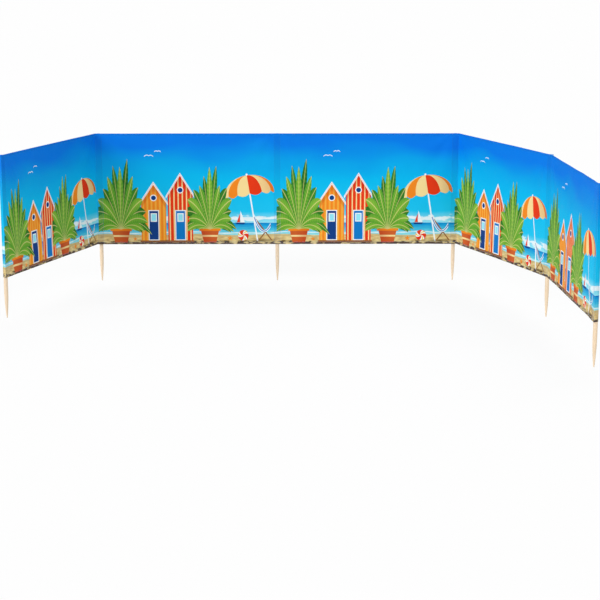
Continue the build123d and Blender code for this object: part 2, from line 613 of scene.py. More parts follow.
class Shader:
    """The node tree of a material or a world while it is made."""

    def __init__(self, owner: Material | World) -> None:
        """Start with an empty tree.

        Args:
            owner: the material or world that the tree belongs to.
        """
        owner.use_nodes = True
        self.owner = owner
        self.tree = owner.node_tree
        self.tree.nodes.clear()

    def node(self, kind: str, settings: dict[str, Any], inputs: dict[int | str, Any]) -> Node:
        """Add a node.

        Args:
            kind: type of the node.
            settings: its properties, and the stops of a ramp; they are set first.
            inputs: a value, a colour or a link for each socket, by name or number.

        Returns:
            The node.
        """
        node = self.tree.nodes.new(kind)
        for name, setting in settings.items():
            if name == "stops":
                self.set_stops(node.color_ramp, setting)
            else:
                setattr(node, name, setting)
        for key, value in inputs.items():
            if isinstance(value, Value):
                self.tree.links.new(value.socket, node.inputs[key])
            else:
                node.inputs[key].default_value = value.linear if isinstance(value, Ink) else value
        return node

    @staticmethod
    def set_stops(ramp: ColorRamp, stops: Stops) -> None:
        """Give a colour ramp its stops.

        Args:
            ramp: the ramp.
            stops: a place from 0 to 1 and an ink for each.
        """
        while len(ramp.elements) < len(stops):
            ramp.elements.new(1.0)
        for element, (place, ink) in zip(ramp.elements, stops):
            element.position = place
            element.color = ink.linear

    def value(
        self,
        kind: str,
        settings: dict[str, Any],
        inputs: dict[int | str, Any],
        output: int | str = 0,
    ) -> Value:
        """One output, by name or number, of a new node."""
        return Value(self, self.node(kind, settings, inputs).outputs[output])

    def maths(self, operation: str, *terms: Value | float) -> Value:
        """One Math node on one or two terms."""
        return self.value("ShaderNodeMath", {"operation": operation}, dict(enumerate(terms)))

    def mixed(self, share: Value | float, below: Value | Ink, above: Value | Ink) -> Value:
        """Two colours mixed, from below at 0 to above at 1."""
        colours = {MIX_SHARE: share, MIX_BELOW: below, MIX_ABOVE: above}
        return self.value("ShaderNodeMix", {"data_type": "RGBA"}, colours, MIX_COLOUR)

    def ramp(self, stops: Stops, tone: Value) -> Value:
        """The colour that a ramp has at a tone from 0 to 1."""
        return self.value("ShaderNodeValToRGB", {"stops": stops}, {0: tone})

    def vector(self, x: Value | float, y: Value | float, z: Value | float = 0.0) -> Value:
        """A vector put together from its parts."""
        return self.value("ShaderNodeCombineXYZ", {}, {0: x, 1: y, 2: z})

    def parts(self, vector: Value) -> tuple[Value, ...]:
        """The three parts of a vector."""
        made = self.node("ShaderNodeSeparateXYZ", {}, {0: vector})
        return tuple(Value(self, socket) for socket in made.outputs)

    def length(self, x: Value, y: Value) -> Value:
        """Length of a flat vector."""
        flat = {0: self.vector(x, y)}
        return self.value("ShaderNodeVectorMath", {"operation": "LENGTH"}, flat, "Value")

    def cloth_place(self) -> tuple[Value, ...]:
        """How far along the cloth and how high above its lower edge a point is."""
        return self.parts(self.value("ShaderNodeUVMap", {"uv_map": CLOTH_MAP}, {}))[:2]

    def object_place(self) -> Value:
        """A point's place in the model."""
        return self.value("ShaderNodeTexCoord", {}, {}, "Object")

    def speckle(self, place: Value, scale: float, detail: float = 2.0) -> Value:
        """Noise from 0 to 1, with its middle at a half."""
        return self.value("ShaderNodeTexNoise", {}, {"Vector": place, "Scale": scale, "Detail": detail})

    def seen(self) -> Value:
        """Tell the rays that show things to the eye from those that only light them.

        Returns:
            1 for rays from the camera, mirror rays and rays through glass, and 0 for the rest.
        """
        rays = self.node("ShaderNodeLightPath", {}, {}).outputs
        names = ("Is Camera Ray", "Is Glossy Ray", "Is Transmission Ray")
        direct, *others = [Value(self, rays[name]) for name in names]
        return direct.most(*others)

    def close(self, kind: str, surface: Value) -> None:
        """Add the output node, of the kind that the owner has."""
        self.node(kind, {}, {"Surface": surface})

    def finish(self, colour: Value | Ink, pattern: Value, relief: Value, surface: Surface) -> Material:
        """Close the material.

        Args:
            colour: base colour.
            pattern: what changes the roughness from place to place.
            relief: height of the surface, from 0 to 1.
            surface: how the finish takes the light.

        Returns:
            The material.
        """
        normal = {"Strength": 1.0, "Distance": surface.depth, "Height": relief}
        inputs = {
            "Base Color": colour,
            "Roughness": surface.roughness + pattern * surface.patterned,
            "Specular IOR Level": surface.shine,
            "Normal": self.value("ShaderNodeBump", {}, normal),
        }
        shaded = self.value("ShaderNodeBsdfPrincipled", {}, inputs)
        self.close("ShaderNodeOutputMaterial", shaded)
        return self.owner


class Fade(NamedTuple):
    """A soft change: where it starts, where it is full, and how strong it is there."""

    start: float
    full: float
    strength: float

    def over(self, value: Value) -> Value:
        """Its strength at each point, as this value changes."""
        return value.spread(self.start, self.full) * self.strength


class Grain(NamedTuple):
    """Noise over the cloth: how much longer than high, how many to the metre, and its detail."""

    stretch: float
    scale: float
    detail: float


class Swell(NamedTuple):
    """A wave along the cloth: its turns in radians to the metre, and its height."""

    turns: float
    height: float


@dataclass
class Canvas:
    """The print while it is made up: every motif paints over what is there."""

    shader: Shader
    along: Value
    up: Value
    repeat: float
    colour: Value | Ink = Ink.SKY_TOP
    shadow_flatness: float = 0.16
    shadow_core: float = 0.4
    shadow_strength: float = 0.55

    @cached_property
    def across(self) -> Value:
        """Distance along the cloth from the start of the repeat."""
        return self.along % self.repeat

    def spot(self, middle: float, height: float) -> tuple[Value, Value]:
        """Distances across and up from a place within the repeat."""
        return self.across - middle, self.up - height

    def grain(self, grain: Grain) -> Value:
        """Noise over the cloth, from 0 to 1."""
        place = self.shader.vector(self.along, self.up * grain.stretch)
        return self.shader.speckle(place, grain.scale, grain.detail)

    def wave(self, swell: Swell) -> Value:
        """Height of a wave at each point."""
        return (self.along * swell.turns).of("SINE") * swell.height

    def paint(self, share: Value | float, ink: Value | Ink) -> None:
        """Paint over a share of the cloth, from 0 to 1 at each point."""
        self.colour = self.shader.mixed(share, self.colour, ink)

    def fill(self, outline: Value, ink: Value | Ink) -> None:
        """Paint the inside of an outline, given as a signed distance."""
        self.paint(outline.inside(), ink)

    def trace(self, outline: Value, half: float, ink: Ink) -> None:
        """Paint a line of this half width along an outline."""
        self.fill(abs(outline) - half, ink)

    def shadow(self, x: Value, y: Value, half: float) -> None:
        """Paint a soft flat shadow on the sand, where something stands.

        Args:
            x: distance across from the middle of what stands there.
            y: height above its foot.
            half: half the width of the shadow.
        """
        reach = self.shader.length(x, y / self.shadow_flatness)
        shade = Fade(half, half * self.shadow_core, self.shadow_strength)
        self.paint(shade.over(reach), Ink.SHADE)


class Motif(Protocol):
    """Something that the print shows."""

    def paint(self, canvas: Canvas) -> None:
        """Paint it over what is there."""


@dataclass(frozen=True)
class Sky:
    """Sky, palest over the horizon, with low white clouds there."""

    height: float = 0.75
    drift: Grain = Grain(2.0, 2.4, 1.0)
    drift_depth: float = 0.35
    cloud_height: float = 0.178
    cloud_half: float = 0.030
    cloud_thinning: float = 0.34
    cloud: Fade = Fade(0.30, 0.42, 0.85)
    puffs: Grain = Grain(2.6, 13.0, 3.0)
    stops: Stops = (
        (0.20, Ink.HAZE),
        (0.30, Ink.SKY_LOW),
        (0.58, Ink.SKY_MIDDLE),
        (0.75, Ink.SKY_HIGH),
        (0.91, Ink.SKY_TOP),
    )

    def paint(self, canvas: Canvas) -> None:
        """Paint the whole cloth, then the clouds.

        Args:
            canvas: the print so far.
        """
        up, drift = canvas.up, canvas.grain(self.drift) - 0.5
        tone = up / self.height + drift * (up * self.drift_depth)
        canvas.colour = canvas.shader.ramp(self.stops, tone)
        layer = abs(up - self.cloud_height) / self.cloud_half
        cloud = canvas.grain(self.puffs) - layer * self.cloud_thinning
        canvas.paint(self.cloud.over(cloud), Ink.WHITE)


@dataclass(frozen=True)
class Sea:
    """Striped sea, darkest along the horizon, with a pale line of foam."""

    horizon: float = 0.146
    waterline: float = WATERLINE
    ripples: Grain = Grain(9.0, 16.0, 2.0)
    ripple_tone: float = 0.5
    foam_rise: float = 0.013
    foam_half: float = 0.0035
    foam_blur: float = 0.003
    foam_breaks: Range = (0.30, 0.55)
    short_swell: Swell = Swell(21.0, 0.003)
    long_swell: Swell = Swell(8.0, 0.004)
    stops: Stops = (
        (0.0, Ink.SHALLOWS),
        (0.45, Ink.SEA),
        (0.86, Ink.DEEP_SEA),
        (1.0, Ink.HORIZON),
    )

    def paint(self, canvas: Canvas) -> None:
        """Paint everything below the horizon, then the foam.

        Args:
            canvas: the print so far.
        """
        up, ripple = canvas.up, canvas.grain(self.ripples)
        tone = up.spread(self.waterline, self.horizon) + (ripple - 0.5) * self.ripple_tone
        canvas.fill(up - self.horizon, canvas.shader.ramp(self.stops, tone))
        swell = canvas.wave(self.short_swell) + canvas.wave(self.long_swell)
        foam = abs(up - (self.waterline + self.foam_rise) - swell) - self.foam_half
        broken = foam.inside(self.foam_blur) * ripple.spread(*self.foam_breaks)
        canvas.paint(broken, Ink.WHITE)


@dataclass(frozen=True)
class Sand:
    """Dry sand, wet along the water, with broken shade along the foot of the cloth."""

    waterline: float = WATERLINE
    shoreline: Swell = Swell(11.0, 0.005)
    blur: float = 0.0015
    grit: Grain = Grain(3.0, 22.0, 4.0)
    tones: Range = (0.34, 0.66)
    wet_drop: float = 0.008
    wet_half: float = 0.005
    wet: Fade = Fade(0.003, -0.003, 0.7)
    shade_top: float = 0.018
    shade_level: float = 0.54
    shade_break: float = 0.13
    shade: Fade = Fade(0.004, -0.004, 0.9)

    def paint(self, canvas: Canvas) -> None:
        """Paint the dry sand, the wet sand and the shade.

        Args:
            canvas: the print so far.
        """
        up, grit = canvas.up, canvas.grain(self.grit)
        off_shore = up - (canvas.wave(self.shoreline) + self.waterline)
        sand = canvas.shader.mixed(grit.spread(*self.tones), Ink.SAND, Ink.SAND_SHADE)
        canvas.paint(off_shore.inside(self.blur), sand)
        canvas.paint(self.wet.over(abs(off_shore + self.wet_drop) - self.wet_half), Ink.WET_SAND)
        broken = up - self.shade_top - (grit - self.shade_level) * self.shade_break
        canvas.paint(self.shade.over(broken), Ink.SHADE)


@dataclass(frozen=True)
class Hut:
    """Boarded beach hut with a pitched roof, a door with a pane and a round light."""

    middle: float
    boards: Ink
    stripes: Ink
    door: Ink
    width: float = 0.168
    wall: float = 0.280
    rise: float = 0.130
    foot: float = 0.026
    board: float = 0.028
    stripe: float = 0.012
    eaves_drop: float = 0.045
    eaves_shade: Fade = Fade(0.010, -0.010, 0.35)
    door_half: float = 0.036
    door_height: float = 0.206
    door_frame: float = 0.006
    pane_half: float = 0.018
    pane_rise: float = 0.026
    pane_height: float = 0.156
    light: float = 0.019
    light_share: float = 0.22
    glazing: float = 0.003
    verge: float = 0.010
    verge_rise: float = 0.003
    verge_line: float = 0.0075
    line_strength: float = 0.55
    overhang: float = 0.014
    plinth: float = 0.007
    plinth_overhang: float = 0.0084
    shadow: float = 0.1344

    def paint(self, canvas: Canvas) -> None:
        """Paint the shadow, then the walls, the door, the roof and the plinth.

        Args:
            canvas: the print so far.
        """
        x, y = canvas.spot(self.middle, self.foot)
        past_wall = abs(x) - self.width / 2
        past_roof = y + abs(x) * (2 * self.rise / self.width) - (self.wall + self.rise)
        canvas.shadow(x, y + self.plinth, self.shadow)
        self.paint_walls(canvas, x, past_wall.most(past_roof, -y), past_roof)
        self.paint_door(canvas, x, y)
        roof = (abs(past_roof - self.verge_rise) - self.verge).most(past_wall - self.overhang)
        canvas.fill(roof, Ink.WHITE)
        canvas.paint((roof + self.verge_line).inside() * self.line_strength, self.boards)
        plinth = (past_wall - self.plinth_overhang).most(abs(y + self.plinth) - self.plinth)
        canvas.fill(plinth, Ink.TIMBER)

    def paint_walls(self, canvas: Canvas, x: Value, walls: Value, past_roof: Value) -> None:
        """Paint the boards, their stripes and the shade under the eaves.

        Args:
            canvas: the print so far.
            x: distance across from the middle of the hut.
            walls: outline of the walls.
            past_roof: distance up past the slopes of the roof.
        """
        canvas.fill(walls, self.boards)
        striped = abs(x % self.board - self.board / 2) - self.stripe / 2
        canvas.fill(striped.most(walls), self.stripes)
        under_eaves = walls.most(-past_roof - self.eaves_drop)
        canvas.paint(self.eaves_shade.over(under_eaves), Ink.DEEP_RED)

    def paint_door(self, canvas: Canvas, x: Value, y: Value) -> None:
        """Paint the door in its frame, the pane in it and the round light over it.

        Args:
            canvas: the print so far.
            x: distance across from the middle of the hut.
            y: height above its foot.
        """
        side = abs(x)
        opening = (side - self.door_half).most(y - self.door_height, -y)
        canvas.fill(opening, Ink.WHITE)
        canvas.fill(opening + self.door_frame, self.door)
        pane = (side - self.pane_half).most(abs(y - self.pane_height) - self.pane_rise)
        centre = self.wall + self.rise * self.light_share
        light = canvas.shader.length(x, y - centre) - self.light
        for outline, ink in ((pane, Ink.HAZE), (light, Ink.NAVY)):
            canvas.fill(outline, ink)
            canvas.trace(outline, self.glazing, Ink.WHITE)


@dataclass(frozen=True)
class Parasol:
    """Tilted parasol with gores in three inks and a scalloped rim."""

    middle: float = 1.020
    rim_height: float = 0.345
    half: float = 0.165
    crown: float = 0.125
    tilt: float = radians(9)
    gore: float = radians(30)
    gores_to_repeat: float = 4.0
    scallop: float = 0.016
    narrowest: float = 0.02
    shade: Fade = Fade(0.02, 0.165, 0.35)
    pole: float = 0.0045
    foot: float = 0.022
    knob: float = 0.007
    knob_rise: float = 0.0049
    shadow: float = 0.066

    def paint(self, canvas: Canvas) -> None:
        """Paint the shadow and the pole, then the canopy.

        Args:
            canvas: the print so far.
        """
        x, y = canvas.spot(self.middle, self.rim_height)
        lean = (self.rim_height - self.foot) * sin(self.tilt) / cos(self.tilt)
        canvas.shadow(x - lean, canvas.up - self.foot, self.shadow)
        across = x * cos(self.tilt) + y * sin(self.tilt)
        upwards = y * cos(self.tilt) - x * sin(self.tilt)
        pole = (abs(across) - self.pole).most(upwards, self.foot - canvas.up)
        canvas.fill(pole, Ink.WHITE)
        self.paint_canopy(canvas, across, upwards)
        from_knob = canvas.shader.length(across, upwards - (self.crown + self.knob_rise))
        canvas.fill(from_knob - self.knob, Ink.WHITE)

    def paint_canopy(self, canvas: Canvas, x: Value, y: Value) -> None:
        """Paint the gores and the shade on one side of them.

        Args:
            canvas: the print so far.
            x: distance across from the pole.
            y: distance from the rim along the pole.
        """
        arch = (1.0 - (y / self.crown) * (y.most(0.0) / self.crown)).most(0.0).of("SQRT")
        aside = x / (arch.most(self.narrowest) * self.half)
        turn = aside.most(-1.0).least(1.0).of("ARCSINE")
        share = turn / self.gore
        hang = abs((share * pi).of("SINE")) * self.scallop
        canopy = (abs(x) - arch * self.half).most(-y - hang, y - self.crown).inside()
        gore = share.of("FLOOR") % self.gores_to_repeat
        canvas.paint(canopy, Ink.CREAM)
        canvas.paint(canopy * (gore < 0.5), Ink.RED)
        canvas.paint(canopy * (abs(gore - self.gores_to_repeat / 2) < 0.5), Ink.ORANGE)
        canvas.paint(canopy * self.shade.over(x), Ink.DEEP_RED)


@dataclass(frozen=True)
class DeckChair:
    """Deck chair seen from the side, with a striped sling."""

    middle: float = 1.124
    foot: float = 0.026
    cross: float = 0.058
    splay: float = 0.75
    back: float = 0.156
    front: float = 0.104
    sag: float = 22.0
    leg: float = 0.005
    sling: float = 0.0075
    stripe: float = 0.003
    shadow: float = 0.078

    def paint(self, canvas: Canvas) -> None:
        """Paint the crossed legs, then the sling that hangs between their tops.

        Args:
            canvas: the print so far.
        """
        x, y = canvas.spot(self.middle, self.foot)
        canvas.shadow(x, y, self.shadow)
        for side, top in ((-1, self.back), (1, self.front)):
            leg = abs(x - (y - self.cross) * (side * self.splay)) - self.leg
            canvas.fill(leg.most(abs(y - top / 2) - top / 2), Ink.TIMBER)
        left = (self.cross - self.back) * self.splay
        right = (self.front - self.cross) * self.splay
        fall = (self.front - self.back) / (right - left)
        hung = (x - left) * fall + self.back + (x - left) * (x - right) * self.sag
        slope = (x * 2.0 - (left + right)) * self.sag + fall
        off = abs(y - hung) / (slope * slope + 1.0).of("SQRT")
        between = (x - right).most(left - x)
        canvas.fill((off - self.sling).most(between), Ink.WHITE)
        canvas.fill((off - self.stripe).most(between), Ink.BLUE)


@dataclass(frozen=True)
class Ball:
    """Beach ball with curved panels."""

    middle: float = 0.975
    height: float = 0.060
    radius: float = 0.036
    swirl: float = 22.0
    panel: float = tau / 3
    stripe: float = tau / 36
    outline: float = 0.001
    outline_strength: float = 0.6
    shadow: float = 0.054

    def paint(self, canvas: Canvas) -> None:
        """Paint the shadow, the panels and a thin outline.

        Args:
            canvas: the print so far.
        """
        shader = canvas.shader
        x, y = canvas.spot(self.middle, self.height)
        canvas.shadow(x, y + self.radius, self.shadow)
        reach = shader.length(x, y)
        disc = reach - self.radius
        turn = (shader.maths("ARCTAN2", y, x) + reach * self.swirl) % self.panel
        canvas.fill(disc, Ink.WHITE)
        canvas.paint(disc.inside() * (turn < self.panel / 2), Ink.RED)
        canvas.paint(disc.inside() * (abs(turn - self.panel * 3 / 4) < self.stripe), Ink.YELLOW)
        rim = abs(disc + self.outline) - self.outline
        canvas.paint(rim.inside() * self.outline_strength, Ink.DEEP_RED)


@dataclass(frozen=True)
class Boat:
    """Small sailing boat on the horizon, its sails given as shares of its length and height."""

    middle: float
    jib: Ink
    line: float = 0.136
    tall: float = 0.082
    long: float = 0.034
    mainsail: Point = (0.9, 1.0)
    jib_size: Point = (-0.7, 0.8)
    sail_edge: float = 0.02
    boom: float = 0.013
    mast: float = 0.0015
    keel: float = 0.75
    hull_flare: float = 0.9
    hull_rise: float = 0.005
    hull_half: float = 0.006

    def paint(self, canvas: Canvas) -> None:
        """Paint the mainsail, the jib and the hull.

        Args:
            canvas: the print so far.
        """
        x, y = canvas.spot(self.middle, self.line)
        for (foot, luff), ink in ((self.mainsail, Ink.WHITE), (self.jib_size, self.jib)):
            side = 1 if foot > 0 else -1
            rise = (y - self.boom) / (self.tall * luff)
            leech = (x / (self.long * foot) + rise - 1.0) * self.sail_edge
            canvas.fill(leech.most(self.mast - x * side, self.boom - y), ink)
        bows = abs(x) - (y * self.hull_flare + self.long * self.keel)
        canvas.fill(bows.most(abs(y - self.hull_rise) - self.hull_half), Ink.NAVY)


@dataclass(frozen=True)
class Gull:
    """Gull far off, as two arched wings."""

    middle: float
    height: float
    span: float = 0.030
    wing: float = 0.0022
    rise: float = 0.75
    arch: float = 0.9

    def paint(self, canvas: Canvas) -> None:
        """Paint the wings.

        Args:
            canvas: the print so far.
        """
        x, y = canvas.spot(self.middle, self.height)
        side = abs(x)
        off = y - side * self.rise + (side * side) * (self.arch / self.span)
        wing = abs(off) - self.wing
        canvas.fill(wing.most(side - self.span), Ink.WHITE)


@dataclass(frozen=True)
class Pot:
    """Flared pot with a band and a rim, shaded on one side."""

    height: float = 0.088
    foot_half: float = 0.042
    flare: float = 0.24
    band: float = 0.006
    rim: float = 0.010
    rim_half: float = 0.072
    body_shade: Fade = Fade(-0.02, 0.07, 0.6)
    rim_shade: Fade = Fade(-0.02, 0.09, 0.5)

    def paint(self, canvas: Canvas, x: Value, y: Value) -> None:
        """Paint the body with its band, then the rim.

        Args:
            canvas: the print so far.
            x: distance across from the middle of the pot.
            y: height above its foot.
        """
        off_middle = abs(y - self.height / 2)
        body = (abs(x) - y * self.flare - self.foot_half).most(off_middle - self.height / 2)
        canvas.fill(body, Ink.TERRACOTTA)
        canvas.fill(body.most(off_middle - self.band), Ink.CREAM)
        canvas.paint(body.inside() * self.body_shade.over(x), Ink.DEEP_RED)
        rim = (abs(x) - self.rim_half).most(abs(y - self.height) - self.rim)
        canvas.fill(rim, Ink.ORANGE)
        canvas.paint(rim.inside() * self.rim_shade.over(x), Ink.DEEP_RED)


@dataclass(frozen=True)
class Leaves:
    """One layer of a plant's leaves, which fan out from the pot and arch over at their tips."""

    shade: Ink
    light: Ink
    length: float
    shift: float
    beat: float
    breadth: float = 0.044
    spacing: float = radians(13)
    arch: float = 6.0
    squeeze: float = 1.10
    droop: float = 0.57
    widest_lean: float = 1.25
    unevenness: float = 0.10
    second_smaller: float = 0.10
    second_beat: float = 2.0
    least_grown: float = 0.05
    rib: float = 0.0015
    rib_strength: float = 0.6
    veins: float = 95.0
    vein_slant: float = 150.0
    vein_depth: float = 0.18
    patch_beat: float = 2.7
    patch_turns: float = 3.0
    patch_depth: float = 0.16
    edge_light: float = 0.45
    tip_light: float = 0.30

    def paint(self, canvas: Canvas, x: Value, y: Value, second: Value) -> None:
        """Paint the leaves with their veins and midribs.

        Args:
            canvas: the print so far.
            x: distance across from the plant's middle.
            y: height above the place that the leaves fan out from.
            second: 0 in the first half of the repeat and 1 in the second.
        """
        shader = canvas.shader
        wide, bent = x * self.squeeze, y + x * x * self.arch
        far = shader.length(wide, bent)
        lean = shader.maths("ARCTAN2", wide, bent)
        leaf = (lean / self.spacing + self.shift).of("ROUND")
        aside = far * abs(lean - (leaf - self.shift) * self.spacing)
        share = far / (self.grown(lean, leaf, second) * self.length)
        half = share * (1.0 - share * share * share) * self.breadth
        edge = aside - half
        mask = edge.inside() * (abs(lean) < self.widest_lean)
        vein = (share * self.veins - aside * self.vein_slant).of("SINE") * self.vein_depth
        patch = (leaf * self.patch_beat + share * self.patch_turns).of("SINE") * self.patch_depth
        tone = vein + patch - edge / half * self.edge_light + share * self.tip_light
        canvas.paint(mask, shader.mixed(tone, self.shade, self.light))
        canvas.paint((aside - self.rib).inside() * mask * self.rib_strength, Ink.CREAM)

    def grown(self, lean: Value, leaf: Value, second: Value) -> Value:
        """Find how long the leaves are, from place to place.

        Args:
            lean: angle away from upright.
            leaf: number of the leaf, from the middle.
            second: 0 in the first half of the repeat and 1 in the second.

        Returns:
            The share of the full length.
        """
        upright = (1.0 - lean * lean * self.droop).most(self.least_grown)
        beat = (leaf * self.beat + second * self.second_beat).of("SINE")
        uneven = 1.0 - (1.0 - beat) * self.unevenness
        return (1.0 - second * self.second_smaller) * upright * uneven


@dataclass(frozen=True)
class PottedPlant:
    """Potted plant in each half of the repeat, the second one smaller and mirrored."""

    middle: float = 0.150
    repeat: float = 0.6
    ground: float = 0.012
    shadow: float = 0.088
    pot: Pot = Pot()
    back: Leaves = Leaves(Ink.LEAF_DARK, Ink.LEAF, 0.5035, 0.5, 1.9)
    front: Leaves = Leaves(Ink.LEAF, Ink.LEAF_LIGHT, 0.475, 0.0, 3.1)

    def paint(self, canvas: Canvas) -> None:
        """Paint the shadow, the pot and both layers of leaves.

        Args:
            canvas: the print so far.
        """
        second = canvas.across > self.repeat
        x = (canvas.across % self.repeat - self.middle) * (1.0 - 2.0 * second)
        y = canvas.up - self.ground
        canvas.shadow(x, y, self.shadow)
        self.pot.paint(canvas, x, y)
        over_pot = y - self.pot.height
        for leaves in (self.back, self.front):
            leaves.paint(canvas, x, over_pot, second)


@dataclass(frozen=True)
class Starfish:
    """Starfish on the sand."""

    middle: float
    height: float = 0.040
    radius: float = 0.017
    arms: int = 5
    notch: float = 0.34

    def paint(self, canvas: Canvas) -> None:
        """Paint its arms.

        Args:
            canvas: the print so far.
        """
        x, y = canvas.spot(self.middle, self.height)
        turn = canvas.shader.maths("ARCTAN2", x, y)
        reach = (turn * self.arms).of("COSINE") * self.notch + (1.0 - self.notch)
        canvas.fill(canvas.shader.length(x, y) - reach * self.radius, Ink.ORANGE)


BACKDROP: tuple[Motif, ...] = (Sky(), Sea(), Sand())

PICTURE: tuple[Motif, ...] = (
    Gull(0.345, 0.600),
    Gull(0.405, 0.630, 0.022),
    Boat(0.955, Ink.RED),
    Boat(0.030, Ink.ORANGE, tall=0.060, long=0.026),
    Hut(0.372, Ink.ORANGE, Ink.AMBER, Ink.NAVY, wall=0.262, rise=0.125),
    Hut(0.552, Ink.RED, Ink.CREAM, Ink.BLUE, wall=0.312, rise=0.135, stripe=0.008),
    Parasol(),
    DeckChair(),
    Ball(),
    Starfish(0.885),
    Starfish(0.245, 0.036, 0.013),
    PottedPlant(),
)


@dataclass(frozen=True)
class PrintedCloth:
    """Plain-weave polyester with a beach scene printed on one side."""

    name: str
    row: Row
    side: Side = Side.PRINTED
    motifs: tuple[Motif, ...] = ()
    repeat: float = 1.2
    thread: float = 1.1 * MILLIMETRE
    show_through: float = 0.64
    seam_half: float = 2.5 * MILLIMETRE
    doubled_shade: float = 0.12
    seam_shade: float = 0.24
    weave_relief: float = 0.45
    mottle_relief: float = 0.35
    seam_relief: float = 0.6
    mottle: Grain = Grain(1.0, 40.0, 3.0)
    surface: Surface = Surface(0.66, 0.12, 0.25 * MILLIMETRE, 0.08)

    def make(self) -> Material:
        """Make the material.

        Returns:
            The material, which follows the cloth's own map.
        """
        shader = Shader(bpy.data.materials.new(self.name))
        along, up = shader.cloth_place()
        canvas = Canvas(shader, along, up, self.repeat)
        for motif in (*BACKDROP, *self.motifs):
            motif.paint(canvas)
        pressed, doubled = self.making_up(along, up)
        if self.side is Side.PRINTED:
            # Painted shade: navy darkens the printed side over the doubled hems and sleeves and along
            # the pressed seam lines
            canvas.paint(doubled * self.doubled_shade + pressed * self.seam_shade, Ink.NAVY)
        else:
            canvas.paint(1.0 - self.show_through, Ink.CLOTH_BACK)
        turn = pi / self.thread
        weave = (along * turn).of("SINE") * (up * turn).of("SINE")
        mottle = canvas.grain(self.mottle) * self.mottle_relief
        relief = weave * self.weave_relief + mottle - pressed * self.seam_relief
        return shader.finish(canvas.colour, weave, relief, self.surface)

    def making_up(self, along: Value, up: Value) -> tuple[Value, Value]:
        """Find where the cloth is sewn and where it is doubled.

        Args:
            along: distance along the cloth.
            up: height on the cloth.

        Returns:
            Masks of the pressed lines of the seams, and of the hems and sleeves.
        """
        layers, pitch = self.row.layers, self.row.stake_pitch
        past_half = (along - layers.sleeve / 2 + pitch / 2) % pitch
        from_stake = abs(past_half - pitch / 2)
        to_edge = up.least(layers.height - up)
        seams = abs(from_stake - layers.seam).least(abs(to_edge - layers.hem_stitch))
        doubled = (from_stake - layers.seam).inside().most((to_edge - layers.hem_stitch).inside())
        return seams.inside(self.seam_half), doubled


@dataclass(frozen=True)
class Thread:
    """Polyester sewing thread."""

    name: str = "sewing_thread"
    twist: float = 0.6 * MILLIMETRE
    surface: Surface = Surface(0.55, 0.10, 0.08 * MILLIMETRE, 0.12)

    def make(self) -> Material:
        """Make the material.

        Returns:
            The material, with the lay of its plies, coloured lighter along it as a painted highlight.
        """
        shader = Shader(bpy.data.materials.new(self.name))
        x, y, z = shader.parts(shader.object_place())
        lay = ((x + y + z) * (tau / self.twist)).swing()
        # Painted highlight: the colour turns lighter along the crowns of the plies
        colour = shader.mixed(lay, Ink.THREAD, Ink.THREAD_LIGHT)
        return shader.finish(colour, lay, lay, self.surface)


class Fleck(NamedTuple):
    """Noise in wood: how much it changes across and along the stake, its scale and its detail."""

    across: float
    along: float
    scale: float
    detail: float


@dataclass(frozen=True)
class Pine:
    """Bare turned pine, pale, with straight grain along the stake."""

    name: str = "turned_pine"
    ring: float = 2.6 * MILLIMETRE
    ring_direction: Point = (0.8, 0.6)
    sway_depth: float = 0.02
    late_wood: Range = (0.45, 1.0)
    tone: float = -0.12
    late_tone: float = 0.28
    fibre_tone: float = 0.30
    patch_tone: Fade = Fade(0.3, 0.8, 0.22)
    point: float = 0.165
    tool_pitch: float = 1.6 * MILLIMETRE
    fibre_relief: float = 0.6
    late_relief: float = 0.2
    tool_relief: float = 0.15
    sway: Fleck = Fleck(9.0, 1.6, 4.0, 2.0)
    fibre: Fleck = Fleck(30.0, 1.0, 45.0, 3.0)
    patch: Fleck = Fleck(1.0, 0.3, 14.0, 2.0)
    surface: Surface = Surface(0.58, 0.15, 0.30 * MILLIMETRE, 0.35)

    def make(self) -> Material:
        """Make the material.

        Returns:
            The material, with growth rings, fine fibres and the marks of the turning tool.
        """
        shader = Shader(bpy.data.materials.new(self.name))
        place = shader.parts(shader.object_place())
        sway, fibre, patch = (self.flecks(shader, place, fleck)
                              for fleck in (self.sway, self.fibre, self.patch))
        x, y, z = place
        outwards = x * self.ring_direction[0] + y * self.ring_direction[1]
        rings = ((outwards + sway * self.sway_depth) * (tau / self.ring)).swing()
        late_wood = rings.spread(*self.late_wood)
        wood = late_wood * self.late_tone + fibre * self.fibre_tone + self.patch_tone.over(patch)
        colour = shader.mixed(wood + self.tone, Ink.PINE, Ink.PINE_GRAIN)
        turned = (z * (tau / self.tool_pitch)).of("SINE") * (z < self.point)
        grain = fibre * self.fibre_relief + late_wood * self.late_relief
        relief = grain + turned * self.tool_relief
        return shader.finish(colour, fibre, relief, self.surface)

    @staticmethod
    def flecks(shader: Shader, place: tuple[Value, ...], fleck: Fleck) -> Value:
        """Find how strongly noise in the wood shows.

        Args:
            shader: the finish while it is made.
            place: the parts of the place in the model.
            fleck: the noise.

        Returns:
            Its strength at each point, from 0 to 1.
        """
        x, y, z = place
        stretched = shader.vector(x * fleck.across, y * fleck.across, z * fleck.along)
        return shader.speckle(stretched, fleck.scale, fleck.detail)


@dataclass(frozen=True)
class Finishes:
    """Every finish of the windbreak, made once."""

    printed: Material
    reverse: Material
    edge: Material
    edge_reverse: Material
    thread: Material
    pine: Material

    @classmethod
    def made(cls, row: Row) -> "Finishes":
        """Make the finishes.

        Args:
            row: the bays as they stand, which give the places of the seams.

        Returns:
            The finishes.
        """
        return cls(
            printed=PrintedCloth("printed_cloth", row, motifs=PICTURE).make(),
            reverse=PrintedCloth("cloth_reverse", row, Side.REVERSE, PICTURE).make(),
            edge=PrintedCloth("printed_edge", row).make(),
            edge_reverse=PrintedCloth("sleeve_reverse", row, Side.REVERSE).make(),
            thread=Thread().make(),
            pine=Pine().make(),
        )


